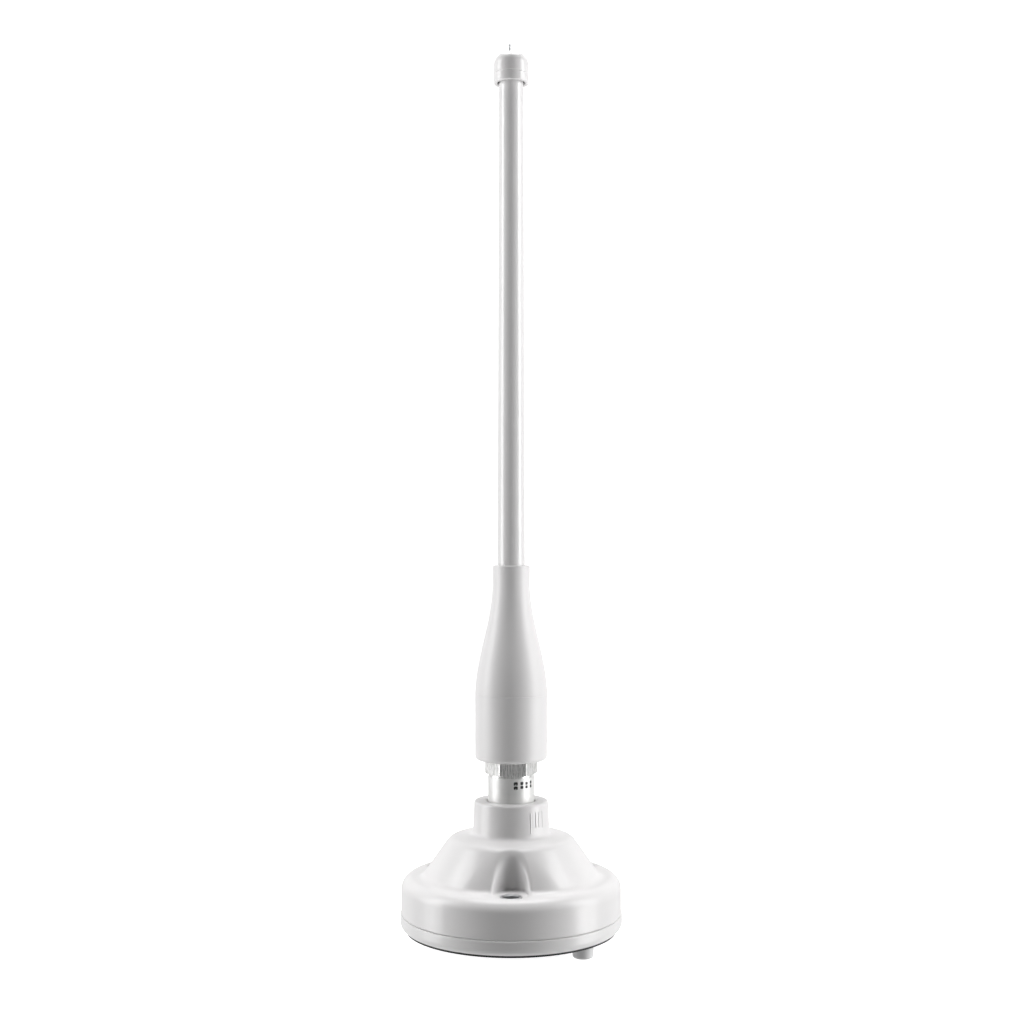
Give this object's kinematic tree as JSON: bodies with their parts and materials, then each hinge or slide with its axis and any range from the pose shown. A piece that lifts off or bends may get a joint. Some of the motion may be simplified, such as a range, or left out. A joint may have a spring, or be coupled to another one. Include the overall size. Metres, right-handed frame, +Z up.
{
  "type": "omnidirectional antenna",
  "caption": "Whip antenna in a tapered radome with a captive screw coupling, on a round screw-down base with recessed fixing wells.",
  "frame": {"origin": "centre of the base's underside, on the face that meets the mounting surface", "axes": "+Z up along the whip; -Y is the front, where one fixing well faces"},
  "size_m": [0.101, 0.101, 0.4102],
  "materials": {
    "gasket_rubber": "closed-cell, matt",
    "base_white": "satin, fine moulded texture",
    "seal_rubber": "matt",
    "cover_white": "satin gloss, moulded",
    "screw_steel": "turned",
    "bushing_metal": "zinc plated, turned",
    "connector_nickel": "nickel plate",
    "ptfe": "waxy",
    "contact_gold": "gold flash",
    "ferrule_brass": "crimped",
    "lead_jacket": "extruded jacket",
    "jack_white": "moulded",
    "nut_nickel": "nickel plate, turned barrel and bright flats",
    "connector_gasket_rubber": "silicone",
    "spring_steel": "spring temper",
    "sleeve_white": "satin gloss, moulded",
    "former_plastic": "moulded",
    "copper_wire": "enamelled copper",
    "radome_white": "polished, pultruded",
    "foam": "open-cell foam",
    "cap_white": "moulded",
    "pin_steel": "drawn"
  },
  "bodies": {
    "base": {"base_gasket": "gasket_rubber", "base_plate": "base_white", "seam_seal": "seal_rubber", "housing_cover": "cover_white", "cover_screws": "screw_steel", "mount_bushings": "bushing_metal", "socket_body": "connector_nickel", "socket_insulator": "ptfe", "socket_contact": "contact_gold", "socket_seal": "seal_rubber", "socket_washer": "screw_steel", "socket_nut": "connector_nickel", "lead_ferrule": "ferrule_brass", "feed_lead": "lead_jacket", "feed_jack_shell": "jack_white", "feed_jack_nut": "jack_white", "feed_jack_body": "contact_gold", "feed_jack_insulator": "ptfe", "feed_jack_contact": "contact_gold"},
    "whip": {"connector_body": "connector_nickel", "connector_insulator": "ptfe", "connector_pin": "contact_gold", "connector_gasket": "connector_gasket_rubber", "retaining_ring": "spring_steel", "shank_nut": "connector_nickel", "sleeve_lower": "sleeve_white", "sleeve_upper": "sleeve_white", "sleeve_seal": "seal_rubber", "coil_former": "former_plastic", "loading_coil": "copper_wire", "coil_links": "copper_wire", "radome": "radome_white", "lower_radiator": "copper_wire", "phasing_coil": "copper_wire", "upper_radiator": "copper_wire", "foam_spacers": "foam", "tip_cap": "cap_white", "cap_seal": "seal_rubber", "tip_pin": "pin_steel"},
    "nut": {"coupling_nut": "nut_nickel"}
  },
  "joints": [
    {"name": "whip_rise", "type": "slide", "parent": "base", "child": "whip", "axis": [0, 0, 1], "range_m": [0, 0.00582]},
    {"name": "nut_turn", "type": "hinge", "parent": "whip", "child": "nut", "pos_m": [0, 0, 0.06], "axis": [0, 0, 1], "range_deg": [0, 1980]}
  ],
  "couplings": [
    {"joint": "nut_turn", "follows": "whip_rise", "rad_per_m": 5936.9}
  ]
}
